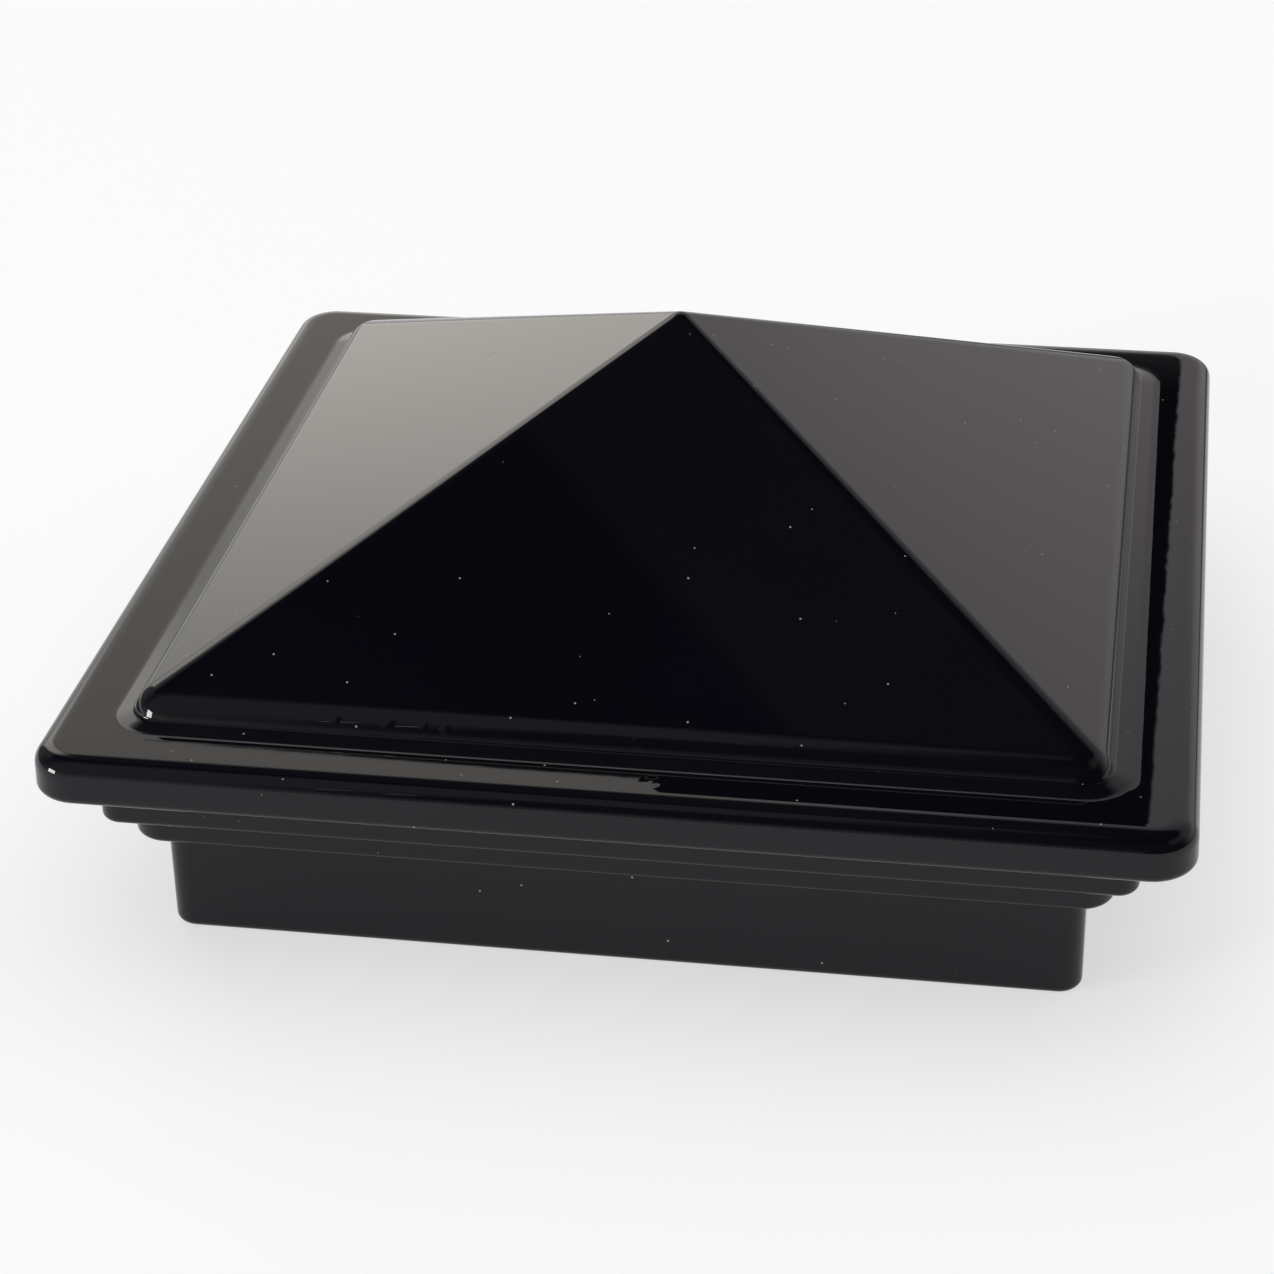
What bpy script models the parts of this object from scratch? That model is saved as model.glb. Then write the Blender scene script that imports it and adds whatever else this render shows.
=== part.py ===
"""A pyramid cap for a square timber fence post.

One aluminium casting slips over the top of the post. A pan-head screw with a sealing washer
goes through the middle of its left and right skirt walls into the wood. Metres, +Z up, front
at -Y. The origin is the middle of the skirt's rim, on the plane that the cap stands on.
"""

import math

import bmesh
import bpy
from mathutils import Vector

# The post, and the pocket that slips over it
POST_WIDTH = 0.0889  # a nominal 4 x 4 inch post, planed
POST_CLEARANCE = 0.0016  # on each side, at the mouth
POCKET_HALF = POST_WIDTH / 2 + POST_CLEARANCE
POCKET_DRAFT = math.radians(0.5)
POCKET_CORNER = 0.0016
WALL = 0.00275

# Half width and level of each tier of the outside
SKIRT_HALF = POCKET_HALF + WALL
SKIRT_TOP = 0.0123
LOWER_STEP_HALF = 0.0516
LOWER_STEP_TOP = 0.0158
UPPER_STEP_HALF = 0.0540
UPPER_STEP_TOP = 0.0212
FLANGE_HALF = 0.05955
FLANGE_TOP = 0.0263
SHOULDER_HALF = 0.0594  # the flange's face leans in to this at its top
SHOULDER_FALL = 0.0004  # of the flange's top, from the crown out to the shoulder
CROWN_HALF = 0.0572
FOOT_HALF = 0.0527  # foot of the shallow cove round the plinth
NECK_HALF = 0.05075  # where the cove meets the plinth's nose
NECK_LEVEL = 0.0268
NOSE_HALF = 0.05026  # where the lines of the nose's flank and the slope would cross
APEX_LEVEL = 0.0538  # of the pyramid's planes, above its rounded tip
SLOPE = math.radians(26.7)

# Radii of the edges, seen in a section
RIM_ROUND = 0.0009
STEP_ROUND = 0.0008
STEP_FILLET = 0.0005
FLANGE_UNDER_ROUND = 0.0010
FLANGE_ROUND = 0.0020
CROWN_ROUND = 0.0038
FOOT_FILLET = 0.0025
NECK_FILLET = 0.0004
NOSE_ROUND = 0.0035

# Radii of the upright corners, seen from above
SKIRT_CORNER = 0.0026
LOWER_STEP_CORNER = 0.0036
UPPER_STEP_CORNER = 0.0023
FLANGE_CORNER = 0.0049
FOOT_CORNER = 0.0050
NOSE_CORNER = 0.0032
HIP_CORNER = 0.0009

# The hollow inside
SEAT_LEVEL = 0.0222  # the shoulder that stops the end of the post
SEAT_HALF = 0.0412
SEAT_CORNER = 0.0040
SEAT_FILLET = 0.0010
SEAT_ROUND = 0.0005
INNER_RIM_ROUND = 0.0004
ROOF_THICKNESS = 0.0030
ROOF_ROUND = 0.0030
VALLEY_CORNER = 0.0030

# The screws, size 8, and their washers
SCREW_LEVEL = 0.0062
SEAT_GAP = 0.0003  # between two pieces that rest on each other
SHANK_RADIUS = 0.00208
SHANK_LENGTH = 0.0190
POINT_LENGTH = 0.0032
POINT_RADIUS = 0.0003
HEAD_RADIUS = 0.0041
HEAD_HEIGHT = 0.0028
HEAD_SIDE = 0.0011
HOLE_RADIUS = 0.0025
WASHER_RADIUS = 0.0048
WASHER_BORE = 0.00245
WASHER_THICKNESS = 0.0014
WASHER_ROUND = 0.0003
RECESS_SPAN = 0.0044
RECESS_WIDTH = 0.0011
RECESS_DEPTH = 0.0016
SIDES = {"left": -1, "right": 1}

STEP_ANGLE = math.radians(18)  # the turn between two points of a rounded edge
CORNER_STEPS = 5
TURNED_STEPS = 32


def rounded(outline):
    """Round the corners of a section. Each corner is (half width, level, edge radius, plan
    corner radius), and each point that comes out is (half width, level, plan corner radius).
    The plan corners of one edge stay concentric as the edge curves in or out."""
    points = []
    for index, (half, level, radius, corner) in enumerate(outline):
        here = Vector((half, level))
        if radius == 0:
            points.append((half, level, corner))
            continue
        before = (Vector(outline[index - 1][:2]) - here).normalized()
        after = (Vector(outline[index + 1][:2]) - here).normalized()
        opening = before.angle(after)
        reach = radius / math.tan(opening / 2)
        centre = here + (before + after).normalized() * radius / math.sin(opening / 2)
        start = here + before * reach - centre
        turn = start.angle_signed(here + after * reach - centre)
        steps = max(2, math.ceil(abs(turn) / STEP_ANGLE))
        for step in range(steps + 1):
            angle = -turn * step / steps
            x = start.x * math.cos(angle) - start.y * math.sin(angle) + centre.x
            z = start.x * math.sin(angle) + start.y * math.cos(angle) + centre.y
            points.append((x, z, corner + x - half))
    return points


def slope_level(half, apex=APEX_LEVEL):
    """Level of a pyramid's sloping face at a half width."""
    return apex - half * math.tan(SLOPE)


def outer_section():
    """The outside, from the rim up to the ring where the rounded tip begins."""
    tip = HIP_CORNER
    shoulder_corner = FLANGE_CORNER - FLANGE_HALF + SHOULDER_HALF
    crown_corner = FLANGE_CORNER - FLANGE_HALF + CROWN_HALF
    outline = [
        (POCKET_HALF, 0, 0, 0),
        (SKIRT_HALF, 0, RIM_ROUND, SKIRT_CORNER),
        (SKIRT_HALF, SKIRT_TOP, STEP_FILLET, SKIRT_CORNER),
        (LOWER_STEP_HALF, SKIRT_TOP, STEP_ROUND, LOWER_STEP_CORNER),
        (LOWER_STEP_HALF, LOWER_STEP_TOP, STEP_FILLET, LOWER_STEP_CORNER),
        (UPPER_STEP_HALF, LOWER_STEP_TOP, STEP_ROUND, UPPER_STEP_CORNER),
        (UPPER_STEP_HALF, UPPER_STEP_TOP, STEP_FILLET, UPPER_STEP_CORNER),
        (FLANGE_HALF, UPPER_STEP_TOP, FLANGE_UNDER_ROUND, FLANGE_CORNER),
        (SHOULDER_HALF, FLANGE_TOP - SHOULDER_FALL, FLANGE_ROUND, shoulder_corner),
        (CROWN_HALF, FLANGE_TOP, CROWN_ROUND, crown_corner),
        (FOOT_HALF, FLANGE_TOP, FOOT_FILLET, FOOT_CORNER),
        (NECK_HALF, NECK_LEVEL, NECK_FILLET, NOSE_CORNER),
        (NOSE_HALF, slope_level(NOSE_HALF), NOSE_ROUND, NOSE_CORNER),
        (tip, slope_level(tip), 0, tip),
    ]
    return rounded(outline)[1:]


def inner_section():
    """The inside, from the ring round the roof's top down to the rim."""
    seat_outer = POCKET_HALF - SEAT_LEVEL * math.tan(POCKET_DRAFT)
    roof_apex = APEX_LEVEL - ROOF_THICKNESS / math.cos(SLOPE)
    top = VALLEY_CORNER
    outline = [
        (top, slope_level(top, roof_apex), 0, top),
        (SEAT_HALF, slope_level(SEAT_HALF, roof_apex), ROOF_ROUND, SEAT_CORNER),
        (SEAT_HALF, SEAT_LEVEL, SEAT_ROUND, SEAT_CORNER),
        (seat_outer, SEAT_LEVEL, SEAT_FILLET, POCKET_CORNER),
        (POCKET_HALF, 0, INNER_RIM_ROUND, POCKET_CORNER),
        (SKIRT_HALF, 0, 0, 0),
    ]
    return rounded(outline)[:-1]


def ring(bm, half, level, corner):
    """The vertices of a square with rounded corners, anticlockwise from its right side."""
    verts = []
    for quarter in range(4):
        for step in range(CORNER_STEPS + 1):
            angle = math.pi / 2 * (quarter + step / CORNER_STEPS)
            middle = math.pi / 4 * (2 * quarter + 1)
            x = (half - corner) * math.copysign(1, math.cos(middle)) + corner * math.cos(angle)
            y = (half - corner) * math.copysign(1, math.sin(middle)) + corner * math.sin(angle)
            verts.append(bm.verts.new((x, y, level)))
    return verts


def join_rings(bm, rings):
    """Quads between each ring and the next."""
    for lower, upper in zip(rings, rings[1:]):
        for index, vert in enumerate(lower):
            after = (index + 1) % len(lower)
            bm.faces.new((vert, lower[after], upper[after], upper[index]))


def dome(bm, last, radius, level):
    """Close the top of a pyramid with a shallow dome that runs on from its slope. The ring last
    is a circle there, because its half width is its corner radius."""
    sphere = radius / math.sin(SLOPE)
    centre = level - sphere * math.cos(SLOPE)
    angle = SLOPE / 2
    middle_radius = sphere * math.sin(angle)
    middle = ring(bm, middle_radius, centre + sphere * math.cos(angle), middle_radius)
    join_rings(bm, [last, middle])
    peak = bm.verts.new((0, 0, centre + sphere))
    for index, vert in enumerate(middle):
        bm.faces.new((vert, middle[(index + 1) % len(middle)], peak))


def painted(name, color, roughness, metallic=0.0):
    material = bpy.data.materials.new(name)
    material.use_nodes = True
    shader = material.node_tree.nodes["Principled BSDF"]
    shader.inputs["Base Color"].default_value = (*color, 1)
    shader.inputs["Roughness"].default_value = roughness
    shader.inputs["Metallic"].default_value = metallic
    return material


def finish(name, bm, material):
    """Turn a bmesh into an object, its faces pointing out and shaded smooth."""
    bmesh.ops.remove_doubles(bm, verts=bm.verts, dist=1e-7)
    bmesh.ops.recalc_face_normals(bm, faces=bm.faces)
    mesh = bpy.data.meshes.new(name)
    bm.to_mesh(mesh)
    bm.free()
    mesh.materials.append(material)
    mesh.shade_smooth()
    mesh.set_sharp_from_angle(angle=math.radians(32))
    piece = bpy.data.objects.new(name, mesh)
    bpy.context.scene.collection.objects.link(piece)
    return piece


def cut(piece, cutter):
    """Take the cutter's shape out of the piece, and hide the cutter."""
    cutter.hide_render = True
    cutter.display_type = "WIRE"
    boolean = piece.modifiers.new(cutter.name, "BOOLEAN")
    boolean.operation = "DIFFERENCE"
    boolean.object = cutter


def casting(material):
    """The whole cap: a hollow pyramid on a flange, with two steps and the skirt below it."""
    bm = bmesh.new()
    outside, inside = outer_section(), inner_section()
    outer = [ring(bm, *point) for point in reversed(outside)]
    inner = [ring(bm, *point) for point in inside]
    join_rings(bm, outer + inner[::-1])
    dome(bm, outer[0], outside[-1][2], outside[-1][1])
    dome(bm, inner[0], inside[0][2], inside[0][1])
    return finish("cap_casting", bm, material)


def turned(name, outline, material):
    """A solid turned about Z. The outline is (radius, height) points round one half of the
    section, and it closes on the axis or on itself."""
    bm = bmesh.new()
    verts = [bm.verts.new((radius, 0, height)) for radius, height in outline]
    edges = [bm.edges.new(pair) for pair in zip(verts, verts[1:])]
    if outline[0][0] > 0:
        edges.append(bm.edges.new((verts[-1], verts[0])))
    bmesh.ops.spin(
        bm, geom=verts + edges, axis=(0, 0, 1), cent=(0, 0, 0), angle=2 * math.pi,
        steps=TURNED_STEPS, use_merge=True,
    )
    return finish(name, bm, material)


def screw_holes(material):
    """One long drill through the middle of both side walls."""
    length = 2.5 * SKIRT_HALF
    ends = (-length / 2, length / 2)
    outline = [(0, ends[0]), (HOLE_RADIUS, ends[0]), (HOLE_RADIUS, ends[1]), (0, ends[1])]
    drill = turned("screw_drill", outline, material)
    drill.location.z = SCREW_LEVEL
    drill.rotation_euler.y = math.pi / 2
    return drill


def washer(name, material):
    """A flat ring whose back, at height 0, faces the skirt."""
    inner, outer, top, edge = WASHER_BORE, WASHER_RADIUS, WASHER_THICKNESS, WASHER_ROUND
    outline = [
        (inner, 0),
        (outer - edge, 0),
        (outer, edge),
        (outer, top - edge),
        (outer - edge, top),
        (inner, top),
    ]
    return turned(name, outline, material)


def screw(name, material):
    """A pan-head screw with its head's underside at height 0 and its point downwards."""
    crown = HEAD_HEIGHT - HEAD_SIDE
    dome_points = [
        (HEAD_RADIUS * math.cos(angle) ** 0.6, HEAD_SIDE + crown * math.sin(angle))
        for angle in (math.radians(degrees) for degrees in (0, 20, 40, 60, 75))
    ]
    outline = [
        (0, -SHANK_LENGTH),
        (POINT_RADIUS, -SHANK_LENGTH),
        (SHANK_RADIUS, -SHANK_LENGTH + POINT_LENGTH),
        (SHANK_RADIUS, 0),
        (HEAD_RADIUS, 0),
        *dome_points,
        (0, HEAD_HEIGHT),
    ]
    return turned(name, outline, material)


def recess(name, material):
    """The cross that a driver fits, narrowing to the bottom, with its mouth above the head."""
    bm = bmesh.new()
    sizes = (
        (HEAD_HEIGHT - RECESS_DEPTH, RECESS_SPAN * 0.45, RECESS_WIDTH * 0.7),
        (HEAD_HEIGHT * 1.2, RECESS_SPAN, RECESS_WIDTH),
    )
    rings = []
    for level, span, width in sizes:
        verts = []
        for quarter in range(4):
            angle = quarter * math.pi / 2
            for x, y in ((width / 2, width / 2), (span / 2, width / 2), (span / 2, -width / 2)):
                turned_x = x * math.cos(angle) + y * math.sin(angle)
                turned_y = y * math.cos(angle) - x * math.sin(angle)
                verts.append(bm.verts.new((turned_x, turned_y, level)))
        rings.append(verts)
    join_rings(bm, rings)
    for verts in rings:
        bm.faces.new(verts)
    return finish(name, bm, material)


def fasten(cap, side, sign, black, rubber):
    """Put a washer and a screw on one side wall, seated, with their axis on the joint's axis."""
    ring_piece = washer(f"{side}_washer", rubber)
    ring_piece.parent = cap
    ring_piece.location = (sign * (SKIRT_HALF + SEAT_GAP), 0, SCREW_LEVEL)
    ring_piece.rotation_euler.y = sign * math.pi / 2
    fastener = screw(f"{side}_screw", black)
    cross = recess(f"{side}_recess_cutter", black)
    cut(fastener, cross)
    for piece in (fastener, cross):
        piece.parent = ring_piece
        piece.location.z = WASHER_THICKNESS + SEAT_GAP


def build():
    for stale in list(bpy.data.objects):
        bpy.data.objects.remove(stale)
    black = painted("gloss_black_coat", (0.012, 0.012, 0.014), 0.12)
    rubber = painted("washer_rubber", (0.02, 0.02, 0.02), 0.7)
    cap = casting(black)
    cut(cap, screw_holes(black))
    for side, sign in SIDES.items():
        fasten(cap, side, sign, black, rubber)


build()
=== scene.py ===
"""A gloss black pyramid cap for a square fence post, on a plain white studio floor.

The casting, the screws and the washers are built again here in the places and sizes of the
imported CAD, with finer edges, real threads and a coat of paint with its small faults. Metres,
+Z up, front at -Y. Angles are in radians unless a name or a comment says degrees.
"""

import math

import bmesh
import bpy
from mathutils import Matrix, Vector


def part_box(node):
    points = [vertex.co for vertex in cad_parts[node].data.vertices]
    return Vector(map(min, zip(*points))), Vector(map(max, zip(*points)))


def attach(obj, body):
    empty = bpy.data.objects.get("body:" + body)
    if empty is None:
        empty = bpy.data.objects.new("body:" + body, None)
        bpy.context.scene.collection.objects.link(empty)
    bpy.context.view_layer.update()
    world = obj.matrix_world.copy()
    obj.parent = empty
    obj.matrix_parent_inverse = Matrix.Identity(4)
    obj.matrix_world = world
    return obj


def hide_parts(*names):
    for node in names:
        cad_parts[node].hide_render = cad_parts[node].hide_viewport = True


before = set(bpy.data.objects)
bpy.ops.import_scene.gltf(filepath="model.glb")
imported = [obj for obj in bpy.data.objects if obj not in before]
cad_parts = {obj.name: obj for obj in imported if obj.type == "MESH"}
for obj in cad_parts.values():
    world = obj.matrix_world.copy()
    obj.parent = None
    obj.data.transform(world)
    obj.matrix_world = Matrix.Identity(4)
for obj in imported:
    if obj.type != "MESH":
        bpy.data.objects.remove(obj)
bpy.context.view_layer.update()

# Places that follow from the frame's right washer
WASHER_LOW, WASHER_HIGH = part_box("right_washer")
SEAT_GAP = 0.0003  # between two pieces that rest on each other
SKIRT_HALF = WASHER_LOW.x - SEAT_GAP
SCREW_LEVEL = (WASHER_LOW.z + WASHER_HIGH.z) / 2

# The outside of the casting: half width and level of each tier
SKIRT_TOP = 0.0123
LOWER_STEP_HALF = 0.0516
LOWER_STEP_TOP = 0.0158
UPPER_STEP_HALF = 0.0540
UPPER_STEP_TOP = 0.0212
FLANGE_HALF = 0.05955
FLANGE_TOP = 0.0263
SHOULDER_HALF = 0.0594  # the flange's face leans in to this at its top
SHOULDER_FALL = 0.0004  # of the flange's top, from the crown out to the shoulder
CROWN_HALF = 0.0572
FOOT_HALF = 0.0527  # foot of the shallow cove round the plinth
NECK_HALF = 0.05075  # where the cove meets the plinth's nose
NECK_LEVEL = 0.0268
NOSE_HALF = 0.05026  # where the lines of the nose's flank and the slope would cross
APEX_LEVEL = 0.0538
SLOPE = math.radians(26.7)

# Radii of the casting's edges, seen in a section
RIM_ROUND = 0.0009
STEP_ROUND = 0.0008
STEP_FILLET = 0.0005
FLANGE_UNDER_ROUND = 0.0010
FLANGE_ROUND = 0.0020
CROWN_ROUND = 0.0038
FOOT_FILLET = 0.0025
NECK_FILLET = 0.0004
NOSE_ROUND = 0.0035

# Radii of the casting's upright corners, seen from above
SKIRT_CORNER = 0.0026
LOWER_STEP_CORNER = 0.0036
UPPER_STEP_CORNER = 0.0023
FLANGE_CORNER = 0.0049
FOOT_CORNER = 0.0050
NOSE_CORNER = 0.0032
HIP_CORNER = 0.0009

# The hollow inside the casting
POCKET_HALF = 0.04605
POCKET_DRAFT = math.radians(0.5)
POCKET_CORNER = 0.0016
SEAT_LEVEL = 0.0222
SEAT_HALF = 0.0412
SEAT_CORNER = 0.0040
SEAT_FILLET = 0.0010
SEAT_ROUND = 0.0005
INNER_RIM_ROUND = 0.0004
ROOF_THICKNESS = 0.0030
ROOF_ROUND = 0.0030
VALLEY_CORNER = 0.0030
HOLE_RADIUS = 0.0025
DRILL_LENGTH = 0.012

# How finely the casting is meshed
EDGE_STEP = math.radians(7.5)
CORNER_STEPS = 10
SIDE_STEPS = 18
HOLE_STEPS = 48
LONGEST_RUN = 0.0018
SHORTEST_SPLIT = 0.0012
WELD_GAP = 0.0000001

SIDES = {"left": -1, "right": 1}


# ------------------------------------------------------------------ camera, light and stage

CAMERA_PLACE = Vector((0.05142, -0.33152, 0.19760))
CAMERA_HEADING = math.radians(-9.756)  # from +Y, positive towards +X
CAMERA_DIP = math.radians(28.883)
CAMERA_ROLL = math.radians(-1.119)
CAMERA_LENS = 92.56  # in millimetres, on a sensor 36 wide
CAMERA_SENSOR = 36


def camera():
    forward = Vector((
        math.sin(CAMERA_HEADING) * math.cos(CAMERA_DIP),
        math.cos(CAMERA_HEADING) * math.cos(CAMERA_DIP),
        -math.sin(CAMERA_DIP),
    ))
    level = Vector((math.cos(CAMERA_HEADING), -math.sin(CAMERA_HEADING), 0))
    above = level.cross(forward)
    right = level * math.cos(CAMERA_ROLL) + above * math.sin(CAMERA_ROLL)
    up = above * math.cos(CAMERA_ROLL) - level * math.sin(CAMERA_ROLL)
    data = bpy.data.cameras.new("camera")
    data.lens, data.sensor_width = CAMERA_LENS, CAMERA_SENSOR
    data.clip_start, data.clip_end = 0.01, 50
    eye = bpy.data.objects.new("camera", data)
    turn = Matrix((right, up, -forward)).transposed().to_4x4()
    eye.matrix_world = Matrix.Translation(CAMERA_PLACE) @ turn
    bpy.context.scene.collection.objects.link(eye)
    bpy.context.scene.camera = eye


# Colours of the surroundings
WHITE = (1, 1, 1, 1)
BLACK = (0, 0, 0, 1)
WARM_WHITE = (1, 0.96, 0.895, 1)
PINKISH_WHITE = (1, 0.94, 0.955, 1)
ROOM_WHITE = (1, 1, 0.98, 1)
FLOOR_GLOW = (1, 0.99, 1, 1)
FLOOR_GREY = (0.50, 0.50, 0.51, 1)
FLOOR_DIM = (0.08, 0.08, 0.08, 1)

FLOOR_RADIUS = 9
# Over this stretch beyond the hollow's half width, the floor's glow comes up from nothing: the soft edge
# of the painted shadow inside the skirt
GLOW_START = 0.00055
GLOW_FULL = 0.00135


class Tree:
    """Short names for building a node tree."""

    def __init__(self, owner):
        owner.use_nodes = True
        self.nodes, self.links = owner.node_tree.nodes, owner.node_tree.links

    def add(self, kind, _settings=None, **inputs):
        """A node, its settings from a dict and its inputs from keywords, _ for a space."""
        node = self.nodes.new(kind)
        for name, value in (_settings or {}).items():
            setattr(node, name, value)
        for name, value in inputs.items():
            self.feed(node.inputs[name.replace("_", " ")], value)
        return node

    def feed(self, socket, value):
        if isinstance(value, bpy.types.NodeSocket):
            self.links.new(value, socket)
        elif isinstance(value, bpy.types.Node):
            self.links.new(value.outputs[0], socket)
        else:
            socket.default_value = value

    def math(self, operation, *values):
        node = self.nodes.new("ShaderNodeMath")
        node.operation = operation
        for socket, value in zip(node.inputs, values):
            self.feed(socket, value)
        return node.outputs[0]

    def product(self, first, *others):
        for other in others:
            first = self.math("MULTIPLY", first, other)
        return first

    def total(self, first, *others):
        for other in others:
            first = self.math("ADD", first, other)
        return first

    def span(self, value, low, high, bottom=0.0, top=1.0):
        """Map a value smoothly from low..high to bottom..top, held outside. High may be the
        smaller of the two, which turns the map round."""
        node = self.nodes.new("ShaderNodeMapRange")
        node.interpolation_type = "SMOOTHSTEP"
        for socket, number in zip(node.inputs, (value, low, high, bottom, top)):
            self.feed(socket, number)
        return node.outputs[0]

    def mix(self, factor, first, second):
        node = self.nodes.new("ShaderNodeMix")
        node.data_type = "RGBA"
        sockets = node.inputs[0], node.inputs[6], node.inputs[7]  # the factor and the two colours
        for socket, value in zip(sockets, (factor, first, second)):
            self.feed(socket, value)
        return node.outputs[2]

    def clouds(self, place, size, detail, offset=(0, 0, 0)):
        """Soft noise of the given feature size, with an offset to set it apart from others."""
        shifted = self.add("ShaderNodeMapping", Vector=place, Location=offset)
        return self.add("ShaderNodeTexNoise", Vector=shifted, Scale=1 / size, Detail=detail).outputs[0]

    def bump(self, relief, distance, below=None, strength=1.0):
        """Relief on top of another bump, or on the plain surface."""
        node = self.add("ShaderNodeBump", Height=relief, Distance=distance, Strength=strength)
        if below is not None:
            self.feed(node.inputs["Normal"], below)
        return node


def backdrop(tree, heading, height):
    """Brightness of what stands behind the cap, by heading and height in degrees."""
    span, product, total = tree.span, tree.product, tree.total

    # The wall is paler on the left, most of all high up, and paler near the floor
    wall = total(
        span(heading, -12, 3, 1.03, 0.66),
        span(heading, 12, 30, 0, -0.10),
        product(span(height, 30, 40), span(heading, -12, 6, 0.22, -0.12)),
        product(span(height, 22, 8, 0, 0.35), span(heading, -5, 5, 1, 0)),
        product(span(height, 26, 17, 0, 0.24), span(height, 9, 1, 1, 0.3), span(heading, 8, 14)),
    )

    # Low down on the left it darkens towards its end, past which little is lit
    low_left = product(span(heading, -40, -22, -0.6, 0.5), span(heading, -24, -20, 1, 0),
                       span(height, 16, 8))
    wall = product(total(wall, low_left), span(heading, -46, -43, 0.25, 1))

    # The unlit ceiling comes down a little towards the left
    ceiling = total(height, span(heading, -12, 8, 0, -2.5))
    wall = product(wall, span(ceiling, 40, 49, 1, 0.05))

    # A bright panel at its left end, whose outer edge leans to the right from a height of 33
    lean = product(tree.math("MAXIMUM", total(height, -33), 0), -0.55)
    panel = product(span(heading, -31, -28.6, 1, 0), span(total(heading, lean), -44.5, -42, 0, 1),
                    span(height, 19, 28, 1.1, 1.38), span(height, 12, 20),
                    span(height, 36, 48, 1, 0.75), span(height, 43, 54, 1, 0.05))

    # The gap: its upper edge climbs to the right in a shallow curve, with a step in it
    turn = total(heading, 13)
    upper = total(31.058, product(turn, 0.108), product(turn, turn, -0.0046),
                  span(heading, -9.50, -9.44, 0, 1.6))
    gap = product(span(tree.math("SUBTRACT", height, upper), -0.01, 0.01, 1, 0),
                  span(height, 21, 25),
                  span(total(heading, product(height, 0.855)), 5.8, 6.2),
                  span(heading, 0.58, 0.68, 1, 0))
    return product(total(wall, panel), span(gap, 0, 1, 1, 0.01))


def front_room(tree, leftward, height):
    """Brightness of what stands in front of the cap, by the angle from straight in front
    towards the left and by height, in degrees."""
    span, product, total = tree.span, tree.product, tree.total

    # Pale on the left, from nearly straight in front where it is high, with faint light along the
    # floor and in one spot overhead
    room = total(
        product(span(leftward, 0, 16, 0.02, 0.32), span(height, 46, 56)),
        product(span(leftward, 12, 19, 0.05, 0.32), span(height, 46, 56, 1, 0)),
        product(span(leftward, -6, 5), span(height, 20, 3, 0, 0.35)),
        product(span(leftward, -4, 3), span(height, 70, 76), span(leftward, 4, 14, 0.10, 0)),
    )
    room = product(room, span(height, 77, 87, 1, 0.2), span(leftward, 60, 95, 1, 0.3))

    # Two short upright lamps
    lamp = product(span(height, 30.6, 31.2), span(height, 34.4, 35.2, 1, 0))
    for place in (14.9, 16.3):
        aside = tree.math("ABSOLUTE", tree.math("SUBTRACT", leftward, place))
        room = total(room, product(lamp, span(aside, 0.04, 0.13, 3.2, 0)))

    # A dim wall on the right
    return total(room, product(span(leftward, -45, -75, 0, 0.22), span(height, 25, 38),
                               span(height, 50, 62, 1, 0)))


def studio_world():
    """What surrounds the cap above the floor. Behind stands a pale backdrop with a bright panel
    at its left end and a dark gap in the middle, and the ceiling over it is unlit. In front the
    room is dim, and nearly dark on the right, where someone stands, up to a dim wall further
    round. The camera sees only white."""
    world = bpy.data.worlds.new("studio")
    bpy.context.scene.world = world
    tree = Tree(world)
    tree.nodes.clear()
    way = tree.add("ShaderNodeTexCoord").outputs["Generated"]
    x, y, z = tree.add("ShaderNodeSeparateXYZ", Vector=way).outputs
    degrees = 180 / math.pi
    height = tree.product(tree.math("ARCSINE", z), degrees)
    heading = tree.product(tree.math("ARCTAN2", x, y), degrees)
    leftward = tree.product(tree.math("ARCTAN2", tree.product(x, -1), tree.product(y, -1)), degrees)
    in_front = tree.math("MAXIMUM", tree.span(heading, 60, 100), tree.span(heading, -60, -95))
    behind = tree.math("SUBTRACT", 1, in_front)
    level = tree.total(tree.product(backdrop(tree, heading, height), behind),
                       tree.product(front_room(tree, leftward, height), in_front))
    tint = tree.mix(tree.span(heading, -12, 2), WARM_WHITE, PINKISH_WHITE)
    tint = tree.mix(in_front, tint, ROOM_WHITE)
    seen = tree.add("ShaderNodeLightPath").outputs["Is Camera Ray"]
    light = tree.add("ShaderNodeBackground", Color=tree.mix(seen, tint, WHITE),
                     Strength=tree.math("MAXIMUM", level, seen))
    tree.add("ShaderNodeOutputWorld", Surface=light)


def soft_light(name, place, aim, width, height, power, in_gloss):
    data = bpy.data.lights.new(name, "AREA")
    data.shape, data.size, data.size_y, data.energy = "RECTANGLE", width, height, power
    light = bpy.data.objects.new(name, data)
    light.location = place
    light.rotation_mode = "QUATERNION"
    light.rotation_quaternion = (Vector(aim) - Vector(place)).to_track_quat("-Z", "Y")
    light.visible_camera = False
    light.visible_glossy = in_gloss
    bpy.context.scene.collection.objects.link(light)


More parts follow.
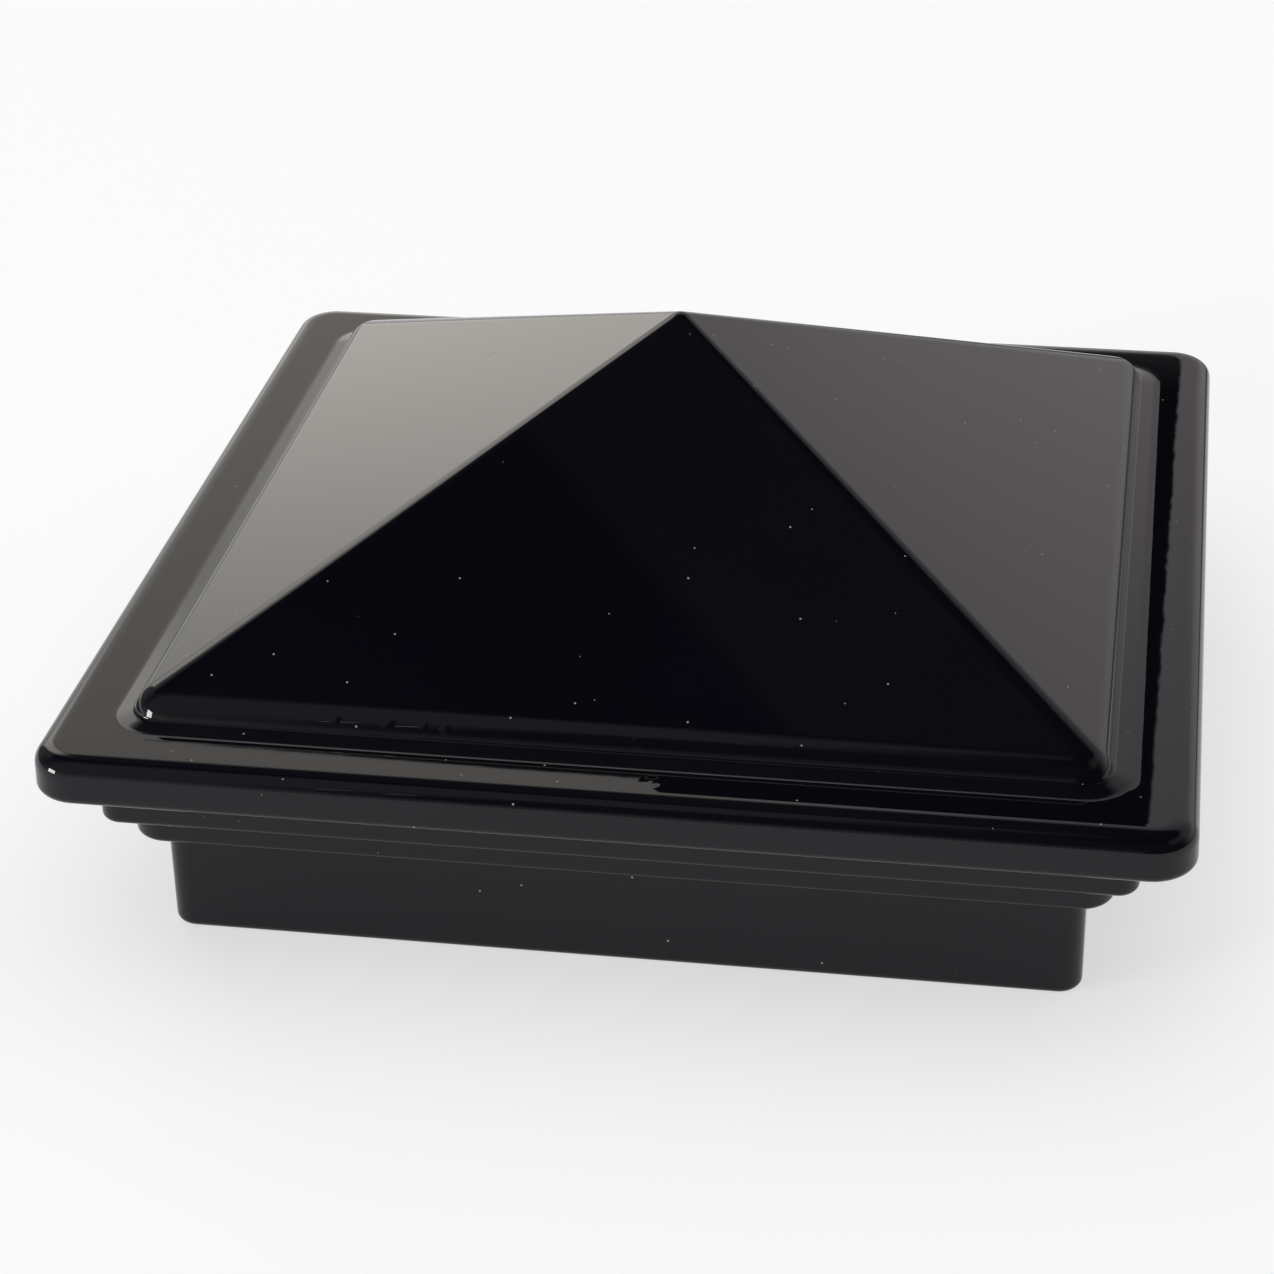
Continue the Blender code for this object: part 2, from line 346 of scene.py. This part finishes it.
def floor_finish():
    """Plain and pale. It glows as if lit evenly, a little less in reflections than when seen."""
    material = bpy.data.materials.new("studio_floor")
    tree = Tree(material)
    shader = tree.nodes["Principled BSDF"]
    shader.inputs["Roughness"].default_value = 0.9
    shader.inputs["Specular IOR Level"].default_value = 0.0
    shader.inputs["Emission Color"].default_value = FLOOR_GLOW
    place = tree.add("ShaderNodeTexCoord").outputs["Object"]
    reach = tree.add("ShaderNodeVectorMath", {"operation": "LENGTH"})
    tree.links.new(place, reach.inputs[0])
    x, y, _ = tree.add("ShaderNodeSeparateXYZ", Vector=place).outputs
    seen = tree.add("ShaderNodeLightPath").outputs["Is Camera Ray"]

    # Far off it runs into the white surroundings, and its reflection is dim behind the cap
    far = tree.span(reach.outputs["Value"], 0.3, 1.6)
    dim = tree.product(tree.span(x, -0.04, 0.03), tree.span(y, 0.14, 0.28), tree.span(seen, 0, 1, 1, 0))
    base = tree.mix(dim, tree.mix(far, FLOOR_GREY, BLACK), FLOOR_DIM)
    glow = tree.total(tree.span(seen, 0, 1, 0.52, 0.60),
                      tree.product(far, tree.span(seen, 0, 1, 0.05, 0.40)))
    tree.feed(shader.inputs["Base Color"], base)

    # No light reaches the floor inside the skirt, so its glow is taken away there: a painted shadow
    aside = tree.math("MAXIMUM", tree.math("ABSOLUTE", x), tree.math("ABSOLUTE", y))
    lit = tree.span(aside, POCKET_HALF + GLOW_START, POCKET_HALF + GLOW_FULL)
    tree.feed(shader.inputs["Emission Strength"], tree.product(glow, tree.span(dim, 0, 1, 1, 0.3), lit))
    return material


def stage():
    bm = bmesh.new()
    bmesh.ops.create_circle(bm, cap_ends=True, segments=96, radius=FLOOR_RADIUS)
    mesh = bpy.data.meshes.new("floor")
    bm.to_mesh(mesh)
    bm.free()
    floor = bpy.data.objects.new("floor", mesh)
    bpy.context.scene.collection.objects.link(floor)
    mesh.materials.append(floor_finish())
    studio_world()
    soft_light("overhead_wash", place=(0, 0, 2.2), aim=(0, 0, 0), width=3.6, height=3.6,
               power=38, in_gloss=False)
    soft_light("left_window", place=(-1.36, -0.85, 0.19), aim=(0, 0, 0.03), width=0.50, height=0.42,
               power=14, in_gloss=True)
    bpy.context.scene.view_settings.view_transform = "Standard"


# ------------------------------------------------------------------ materials

# The coat outside and inside: colour, roughness, share of the cells that hold a speck of dust,
# height and width of the orange peel
OUTER_COAT = ((0.0024, 0.0025, 0.0050), 0.011, 0.32, 0.0000002, 0.0022)
INNER_COAT = ((0.006, 0.006, 0.0065), 0.32, 0.12, 0.00002, 0.0012)
COAT_IOR = 1.40
HAZE_SIZE = 0.035
FINE_SIZE = 0.0035
DUST_COLOR = (0.30, 0.29, 0.27, 1)
DUST_CELL = 0.0020
DUST_SHARE = 0.06  # radius of a speck, as a share of its cell
RIPPLE_SIZE = 0.004
RIPPLE_FROM, RIPPLE_FULL = 0.050, 0.056  # the right rim of the flange is rippled

RUBBER = (0.012, 0.012, 0.012, 1)
RUBBER_BLOOM = (0.035, 0.034, 0.033, 1)
BLOOM_SIZE = 0.0012
GRIT_SIZE = 0.00015

DARK_OXIDE = (0.010, 0.010, 0.011, 1)
PALE_OXIDE = (0.026, 0.026, 0.028, 1)
BARE_STEEL = (0.42, 0.41, 0.40, 1)
MOTTLE_SIZE = 0.0009
GRAIN_SIZE = 0.00018

# Faults in the outer coat: x, y, z, radius and height of each small sag, bubble or dimple
FAULTS = (
    (0.0050, -0.0550, 0.0263, 0.0013, 0.000030),  # a bubble on the front of the flange
    (-0.0286, -0.0500, 0.0284, 0.0008, 0.000022),  # small sags along the plinth's nose
    (-0.0231, -0.0500, 0.0284, 0.0010, 0.000026),
    (-0.0193, -0.0501, 0.0281, 0.0006, 0.000014),
    (-0.0170, -0.0502, 0.0279, 0.0007, 0.000014),
    (0.0030, -0.0502, 0.0280, 0.0009, 0.000012),
    (0.0140, -0.0502, 0.0280, 0.0012, 0.000014),
    (0.0185, -0.0502, 0.0282, 0.0009, 0.000012),
    (-0.0242, 0.0120, 0.0416, 0.0012, -0.000006),  # a dimple on the left slope
)


def coat_paint(name, color, roughness, dust, wave_height, wave_size, faults=()):
    """Sprayed gloss paint: orange peel, a trace of haze, fine settled dust and a few specks."""
    material = bpy.data.materials.new(name)
    tree = Tree(material)
    shader = tree.nodes["Principled BSDF"]
    place = tree.add("ShaderNodeTexCoord").outputs["Object"]

    haze = tree.clouds(place, HAZE_SIZE, 3)
    fine = tree.clouds(place, FINE_SIZE, 2, (3, 1, 2))
    cell = tree.add("ShaderNodeTexVoronoi", Vector=place, Scale=1 / DUST_CELL)
    lot = tree.add("ShaderNodeSeparateColor", Color=cell.outputs["Color"]).outputs[0]
    speck = tree.product(tree.math("GREATER_THAN", lot, 1 - dust),
                         tree.math("LESS_THAN", cell.outputs["Distance"], DUST_SHARE))

    darker, lighter = ((*(part * share for part in color), 1) for share in (0.8, 1.25))
    tree.feed(shader.inputs["Base Color"], tree.mix(speck, tree.mix(haze, darker, lighter), DUST_COLOR))
    shine = tree.total(tree.span(haze, 0.3, 0.7, roughness * 0.85, roughness * 1.25),
                       tree.span(fine, 0.55, 0.8, 0, roughness * 0.25), tree.product(speck, 0.5))
    tree.feed(shader.inputs["Roughness"], shine)
    shader.inputs["IOR"].default_value = COAT_IOR

    peel = tree.bump(tree.clouds(place, wave_size, 1, (1, 5, 2)), wave_height)
    swell = tree.bump(tree.clouds(place, wave_size * 4, 1, (4, 2, 7)), wave_height * 3, peel)
    x = tree.add("ShaderNodeSeparateXYZ", Vector=place).outputs[0]
    ripple = tree.clouds(place, RIPPLE_SIZE, 1, (7, 3, 1))
    ripple = tree.product(tree.span(x, RIPPLE_FROM, RIPPLE_FULL), ripple)
    normal = tree.bump(ripple, wave_height * 12, swell)
    for *centre, radius, rise in faults:
        away = tree.add("ShaderNodeVectorMath", {"operation": "DISTANCE"})
        tree.links.new(place, away.inputs[0])
        away.inputs[1].default_value = centre
        normal = tree.bump(tree.span(away.outputs["Value"], radius, radius * 0.2), rise, normal)
    tree.feed(shader.inputs["Normal"], normal)
    return material


def washer_rubber():
    """Moulded rubber with a patchy grey bloom and a fine grit."""
    material = bpy.data.materials.new("washer_rubber")
    tree = Tree(material)
    shader = tree.nodes["Principled BSDF"]
    place = tree.add("ShaderNodeTexCoord").outputs["Object"]
    bloom = tree.clouds(place, BLOOM_SIZE, 4)
    grit = tree.clouds(place, GRIT_SIZE, 2)
    tree.feed(shader.inputs["Base Color"], tree.mix(bloom, RUBBER, RUBBER_BLOOM))
    tree.feed(shader.inputs["Roughness"], tree.span(bloom, 0.3, 0.7, 0.62, 0.82))
    tree.feed(shader.inputs["Normal"], tree.bump(grit, 0.00002, strength=0.6))
    return material


def screw_coat():
    """Black oxide over steel, rubbed through to the metal on the thread's crests."""
    material = bpy.data.materials.new("black_screw_coat")
    tree = Tree(material)
    shader = tree.nodes["Principled BSDF"]
    place = tree.add("ShaderNodeTexCoord").outputs["Object"]
    mottle = tree.clouds(place, MOTTLE_SIZE, 4)
    grain = tree.clouds(place, GRAIN_SIZE, 3)
    crest = tree.add("ShaderNodeAttribute", {"attribute_name": "wear"}).outputs["Fac"]
    rubbed = tree.product(tree.span(crest, 0.8, 1.0), tree.span(mottle, 0.42, 0.60))
    oxide = tree.mix(mottle, DARK_OXIDE, PALE_OXIDE)
    tree.feed(shader.inputs["Base Color"], tree.mix(rubbed, oxide, BARE_STEEL))
    tree.feed(shader.inputs["Metallic"], rubbed)
    tree.feed(shader.inputs["Roughness"], tree.span(mottle, 0.3, 0.7, 0.30, 0.44))
    tree.feed(shader.inputs["Normal"], tree.bump(grain, 0.000012, strength=0.7))
    return material


# ------------------------------------------------------------------ the casting

def rounded(outline):
    """Round the corners of a section. Each corner is (half width, level, edge radius, plan
    corner radius), and each point that comes out is (half width, level, plan corner radius).
    The plan corners of one edge stay concentric as the edge curves in or out."""
    points = []
    for index, (half, level, radius, corner) in enumerate(outline):
        here = Vector((half, level))
        if radius == 0:
            points.append((half, level, corner))
            continue
        before = (Vector(outline[index - 1][:2]) - here).normalized()
        after = (Vector(outline[index + 1][:2]) - here).normalized()
        opening = before.angle(after)
        reach = radius / math.tan(opening / 2)
        centre = here + (before + after).normalized() * radius / math.sin(opening / 2)
        start = here + before * reach - centre
        turn = start.angle_signed(here + after * reach - centre)
        steps = max(3, math.ceil(abs(turn) / EDGE_STEP))
        for step in range(steps + 1):
            angle = -turn * step / steps
            x = start.x * math.cos(angle) - start.y * math.sin(angle) + centre.x
            z = start.x * math.sin(angle) + start.y * math.cos(angle) + centre.y
            points.append((x, z, corner + x - half))
    return points


def eased(steps):
    """Shares from 0 to 1, closer together at both ends."""
    return [(1 - math.cos(math.pi * step / steps)) / 2 for step in range(steps + 1)]


def filled_in(points):
    """Add points along the straight runs of a section, closer together at their ends."""
    fuller = [points[0]]
    for first, second in zip(points, points[1:]):
        run = math.hypot(second[0] - first[0], second[1] - first[1])
        steps = max(4, math.ceil(run / LONGEST_RUN)) if run > SHORTEST_SPLIT else 1
        for share in eased(steps)[1:]:
            fuller.append(tuple(a + (b - a) * share for a, b in zip(first, second)))
    return fuller


def slope_level(half, apex=APEX_LEVEL):
    """Level of a pyramid's sloping face at a half width."""
    return apex - half * math.tan(SLOPE)


def outer_section():
    """The casting's outside, from the rim up to the foot of the dome at its apex."""
    tip = HIP_CORNER
    shoulder_corner = FLANGE_CORNER - FLANGE_HALF + SHOULDER_HALF
    crown_corner = FLANGE_CORNER - FLANGE_HALF + CROWN_HALF
    outline = [
        (POCKET_HALF, 0, 0, 0),
        (SKIRT_HALF, 0, RIM_ROUND, SKIRT_CORNER),
        (SKIRT_HALF, SKIRT_TOP, STEP_FILLET, SKIRT_CORNER),
        (LOWER_STEP_HALF, SKIRT_TOP, STEP_ROUND, LOWER_STEP_CORNER),
        (LOWER_STEP_HALF, LOWER_STEP_TOP, STEP_FILLET, LOWER_STEP_CORNER),
        (UPPER_STEP_HALF, LOWER_STEP_TOP, STEP_ROUND, UPPER_STEP_CORNER),
        (UPPER_STEP_HALF, UPPER_STEP_TOP, STEP_FILLET, UPPER_STEP_CORNER),
        (FLANGE_HALF, UPPER_STEP_TOP, FLANGE_UNDER_ROUND, FLANGE_CORNER),
        (SHOULDER_HALF, FLANGE_TOP - SHOULDER_FALL, FLANGE_ROUND, shoulder_corner),
        (CROWN_HALF, FLANGE_TOP, CROWN_ROUND, crown_corner),
        (FOOT_HALF, FLANGE_TOP, FOOT_FILLET, FOOT_CORNER),
        (NECK_HALF, NECK_LEVEL, NECK_FILLET, NOSE_CORNER),
        (NOSE_HALF, slope_level(NOSE_HALF), NOSE_ROUND, NOSE_CORNER),
        (tip, slope_level(tip), 0, tip),
    ]
    return filled_in(rounded(outline)[1:])


def inner_section():
    """The casting's hollow, from the foot of the dome at its apex down to the rim."""
    seat_outer = POCKET_HALF - SEAT_LEVEL * math.tan(POCKET_DRAFT)
    roof_apex = APEX_LEVEL - ROOF_THICKNESS / math.cos(SLOPE)
    top = VALLEY_CORNER
    outline = [
        (top, slope_level(top, roof_apex), 0, top),
        (SEAT_HALF, slope_level(SEAT_HALF, roof_apex), ROOF_ROUND, SEAT_CORNER),
        (SEAT_HALF, SEAT_LEVEL, SEAT_ROUND, SEAT_CORNER),
        (seat_outer, SEAT_LEVEL, SEAT_FILLET, POCKET_CORNER),
        (POCKET_HALF, 0, INNER_RIM_ROUND, POCKET_CORNER),
        (SKIRT_HALF, 0, 0, 0),
    ]
    return filled_in(rounded(outline)[:-1])


def ring(bm, half, level, corner):
    """A square with rounded corners, anticlockwise from its right side's upper end."""
    verts = []
    straight = half - corner
    for quarter in range(4):
        spin = Matrix.Rotation(quarter * math.pi / 2, 3, "Z")
        for step in range(CORNER_STEPS):
            angle = math.pi / 2 * step / CORNER_STEPS
            out, along = corner * math.cos(angle), corner * math.sin(angle)
            verts.append(bm.verts.new(spin @ Vector((straight + out, straight + along, level))))
        for share in eased(SIDE_STEPS)[:-1]:
            verts.append(bm.verts.new(spin @ Vector((straight * (1 - 2 * share), half, level))))
    return verts


def join_rings(bm, rings, material_index=0):
    """A strip of faces between each ring and the next."""
    for lower, upper in zip(rings, rings[1:]):
        for index, vert in enumerate(lower):
            after = (index + 1) % len(lower)
            face = bm.faces.new((vert, lower[after], upper[after], upper[index]))
            face.material_index = material_index


def dome(bm, last, radius, level, material_index):
    """Close a pyramid's top with a shallow dome that runs on from its slope."""
    sphere = radius / math.sin(SLOPE)
    centre = level - sphere * math.cos(SLOPE)
    rings = [last]
    for share in (0.8, 0.6, 0.4, 0.2):
        inner = sphere * math.sin(SLOPE * share)
        rings.append(ring(bm, inner, centre + sphere * math.cos(SLOPE * share), inner))
    join_rings(bm, rings, material_index)
    peak = bm.verts.new((0, 0, centre + sphere))
    for index, vert in enumerate(rings[-1]):
        bm.faces.new((vert, rings[-1][(index + 1) % len(last)], peak)).material_index = material_index


def finish_piece(name, bm, materials, sharp_degrees=40):
    """Weld a mesh and make it an object, smooth but for its edges over the given angle."""
    bmesh.ops.remove_doubles(bm, verts=bm.verts, dist=WELD_GAP)
    bmesh.ops.recalc_face_normals(bm, faces=bm.faces)
    mesh = bpy.data.meshes.new(name)
    bm.to_mesh(mesh)
    bm.free()
    for material in materials:
        mesh.materials.append(material)
    mesh.shade_smooth()
    mesh.set_sharp_from_angle(angle=math.radians(sharp_degrees))
    piece = bpy.data.objects.new(name, mesh)
    bpy.context.scene.collection.objects.link(piece)
    return piece


def weigh_normals(piece):
    """Let the large flat faces set the shading at their edges, as on a machined die."""
    weighted = piece.modifiers.new("weighted_normals", "WEIGHTED_NORMAL")
    weighted.mode, weighted.weight, weighted.keep_sharp = "FACE_AREA", 50, True


def screw_hole(sign):
    """A cutter, turned by half a segment so that no corner of it meets the wall's middle line."""
    bm = bmesh.new()
    bmesh.ops.create_cone(bm, cap_ends=True, segments=HOLE_STEPS, radius1=HOLE_RADIUS,
                          radius2=HOLE_RADIUS, depth=DRILL_LENGTH)
    drill = finish_piece("hole_cutter", bm, [])
    half_step = Matrix.Rotation(math.pi / HOLE_STEPS, 4, "Z")
    drill.matrix_world = (Matrix.Translation((sign * SKIRT_HALF, 0, SCREW_LEVEL))
                          @ Matrix.Rotation(math.pi / 2, 4, "Y") @ half_step)
    return drill


def apply_modifiers(piece):
    graph = bpy.context.evaluated_depsgraph_get()
    mesh = bpy.data.meshes.new_from_object(piece.evaluated_get(graph), depsgraph=graph)
    piece.modifiers.clear()
    piece.data = mesh


def casting(outer_coat, inner_coat):
    bm = bmesh.new()
    outside, inside = outer_section(), inner_section()
    outer = [ring(bm, *point) for point in reversed(outside)]
    inner = [ring(bm, *point) for point in inside]
    join_rings(bm, outer + inner[-1:])
    join_rings(bm, inner, 1)
    dome(bm, outer[0], outside[-1][2], outside[-1][1], 0)
    dome(bm, inner[0], inside[0][2], inside[0][1], 1)
    piece = finish_piece("cap_body", bm, [outer_coat, inner_coat])
    for sign in SIDES.values():
        drill = screw_hole(sign)
        boolean = piece.modifiers.new("hole", "BOOLEAN")
        boolean.operation, boolean.object = "DIFFERENCE", drill
        apply_modifiers(piece)
        bpy.data.objects.remove(drill)
    weigh_normals(piece)
    return piece


# ------------------------------------------------------------------ screws and washers

THREAD_PITCH = 0.0254 / 15
CREST_RADIUS = 0.00208
ROOT_RADIUS = 0.00146
NECK_RADIUS = 0.00190  # the plain neck under the head
SHANK_LENGTH = 0.0190
POINT_LENGTH = 0.0042  # over which the core narrows to its tip
POINT_RADIUS = 0.0003
POINT_CURVE = 0.8  # 1 would be a straight cone
RUN_OUT = 0.0020  # where the thread fades under the head
HEAD_RADIUS = 0.0041
HEAD_HEIGHT = 0.0028
HEAD_SIDE = 0.0011
HEAD_ROUND = 0.0002
CROWN_CURVE = 0.6  # 1 would be part of an ellipse, and less is flatter on top
RECESS_SPAN = 0.0044
RECESS_WIDTH = 0.0011
RECESS_DEPTH = 0.0018
RECESS_POINT = 0.0003
BOTTOM_SPAN = RECESS_SPAN * 0.42
BOTTOM_WIDTH = RECESS_WIDTH * 0.66
TURNED_STEPS = 48
WASHER_BORE = 0.00245
WASHER_EDGE = 0.0003
MOULD_LINE = 0.00004
# Share of the pitch and share of the thread's depth, across one ridge
RIDGE = ((0, 0), (0.30, 0), (0.39, 0.10), (0.50, 0.93), (0.53, 1), (0.56, 0.93), (0.67, 0.10), (0.76, 0))


def smooth(value, low, high):
    share = min(1, max(0, (value - low) / (high - low)))
    return share * share * (3 - 2 * share)


def circle(bm, radius, height):
    return [
        bm.verts.new((radius * math.cos(angle), radius * math.sin(angle), height))
        for angle in (2 * math.pi * step / TURNED_STEPS for step in range(TURNED_STEPS))
    ]


def threaded_shank(bm, wear):
    """One helical sheet: each line of vertices climbs by the pitch in one turn and meets the
    line a pitch above it. It is held between the point and the head, where the thread fades."""
    def radius_at(z, ridge):
        """Radius of the shank there, and how much of the ridge it keeps."""
        from_point = z + SHANK_LENGTH
        at_neck = smooth(z, -RUN_OUT, -RUN_OUT / 2)
        taper = min(1, from_point / POINT_LENGTH) ** POINT_CURVE
        core = POINT_RADIUS + (ROOT_RADIUS - POINT_RADIUS) * taper
        core += (NECK_RADIUS - ROOT_RADIUS) * at_neck
        kept = ridge * smooth(from_point, 0, POINT_LENGTH * 0.8) * (1 - at_neck)
        return core + (CREST_RADIUS - ROOT_RADIUS) * kept, kept

    lines = []
    for turn in range(math.ceil(SHANK_LENGTH / THREAD_PITCH) + 2):
        for share, ridge in RIDGE:
            line = []
            for step in range(TURNED_STEPS + 1):
                climb = turn + share + step / TURNED_STEPS - 1
                z = min(0, max(-SHANK_LENGTH, THREAD_PITCH * climb - SHANK_LENGTH))
                radius, kept = radius_at(z, ridge)
                angle = 2 * math.pi * step / TURNED_STEPS
                vert = bm.verts.new((radius * math.cos(angle), radius * math.sin(angle), z))
                vert[wear] = kept
                line.append(vert)
            lines.append(line)
    for lower, upper in zip(lines, lines[1:]):
        for step in range(TURNED_STEPS):
            bm.faces.new((lower[step], lower[step + 1], upper[step + 1], upper[step]))
    bm.faces.new(circle(bm, POINT_RADIUS, -SHANK_LENGTH))


def screw_head(bm):
    """A pan head, open underneath where the shank's neck meets it."""
    crown = HEAD_HEIGHT - HEAD_SIDE
    outline = [(NECK_RADIUS, 0), (HEAD_RADIUS - HEAD_ROUND, 0)]
    outline += [
        (HEAD_RADIUS - HEAD_ROUND * (1 - math.sin(angle)), HEAD_ROUND * (1 - math.cos(angle)))
        for angle in (math.pi / 6 * step for step in range(1, 4))
    ]
    outline += [
        (HEAD_RADIUS * math.cos(angle) ** CROWN_CURVE, HEAD_SIDE + crown * math.sin(angle))
        for angle in (math.radians(6 * step) for step in range(15))
    ]
    rings = [circle(bm, radius, height) for radius, height in outline]
    join_rings(bm, rings)
    bm.faces.new(rings[-1])


def recess_cutter():
    """The driver's cross: four wings that narrow to the bottom, and a small point. It stands out
    above the head."""
    bm = bmesh.new()
    rings = []
    bottom = HEAD_HEIGHT - RECESS_DEPTH
    for level, span, width in ((bottom, BOTTOM_SPAN, BOTTOM_WIDTH),
                               (HEAD_HEIGHT * 1.2, RECESS_SPAN, RECESS_WIDTH)):
        root, shoulder, tip = width * 0.62, span / 2 - width * 0.12, span / 2
        wing = [(root, width * 0.5), (shoulder, width * 0.5), (tip, width * 0.3)]
        wing += [(x, -y) for x, y in reversed(wing)]
        verts = []
        for quarter in range(4):
            spin = Matrix.Rotation(-quarter * math.pi / 2, 3, "Z")
            verts += [bm.verts.new(spin @ Vector((x, y, level))) for x, y in wing]
        rings.append(verts)
    join_rings(bm, rings)
    bm.faces.new(rings[1])
    point = bm.verts.new((0, 0, bottom - RECESS_POINT))
    for index, vert in enumerate(rings[0]):
        bm.faces.new((vert, rings[0][(index + 1) % len(rings[0])], point))
    return finish_piece("recess_cutter", bm, [])


def screw(name, material):
    """A pan head screw along Z, its head's underside at 0. The wear layer marks the crests."""
    bm = bmesh.new()
    wear = bm.verts.layers.float.new("wear")
    threaded_shank(bm, wear)
    screw_head(bm)
    piece = finish_piece(name, bm, [material], 35)
    cutter = recess_cutter()
    boolean = piece.modifiers.new("recess", "BOOLEAN")
    boolean.operation, boolean.object = "DIFFERENCE", cutter
    apply_modifiers(piece)
    bpy.data.objects.remove(cutter)
    return piece


def washer(name, material):
    """A moulded ring with round edges and a fine mould line round its waist."""
    outer = (WASHER_HIGH.z - WASHER_LOW.z) / 2
    top = WASHER_HIGH.x - WASHER_LOW.x
    side = outer - MOULD_LINE
    half = []
    for angle in (math.pi / 2 * step / 4 for step in range(5)):
        rise = WASHER_EDGE * (1 - math.sin(angle))
        half.append((WASHER_BORE + WASHER_EDGE * (1 - math.cos(angle)), rise))
    for angle in (math.pi / 2 * step / 5 for step in range(6)):
        rise = WASHER_EDGE * (1 - math.cos(angle))
        half.append((side - WASHER_EDGE * (1 - math.sin(angle)), rise))
    half += [(side, top / 2 - MOULD_LINE), (outer, top / 2)]
    outline = half + [(radius, top - height) for radius, height in reversed(half[:-1])]
    bm = bmesh.new()
    rings = [circle(bm, radius, height) for radius, height in outline]
    join_rings(bm, rings + rings[:1])
    return finish_piece(name, bm, [material], 50)


def place_on_side(piece, sign, distance):
    """Turn a piece that was made along +Z to point outward, and write its place to its mesh."""
    piece.data.transform(Matrix.Translation((sign * distance, 0, SCREW_LEVEL))
                         @ Matrix.Rotation(sign * math.pi / 2, 4, "Y"))


def fasteners():
    black, rubber = screw_coat(), washer_rubber()
    for side, sign in SIDES.items():
        sealing = washer(f"{side}_sealing_washer", rubber)
        place_on_side(sealing, sign, WASHER_LOW.x)
        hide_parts(f"{side}_washer")
        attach(sealing, f"{side}_washer")
        fixing = screw(f"{side}_fixing_screw", black)
        place_on_side(fixing, sign, WASHER_HIGH.x + SEAT_GAP)
        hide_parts(f"{side}_screw")
        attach(fixing, f"{side}_screw")


def build():
    camera()
    stage()
    outer_coat = coat_paint("gloss_black_coat", *OUTER_COAT, FAULTS)
    inner_coat = coat_paint("inner_coat", *INNER_COAT)
    cap = casting(outer_coat, inner_coat)
    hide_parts("cap_casting")
    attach(cap, "cap")
    fasteners()


build()
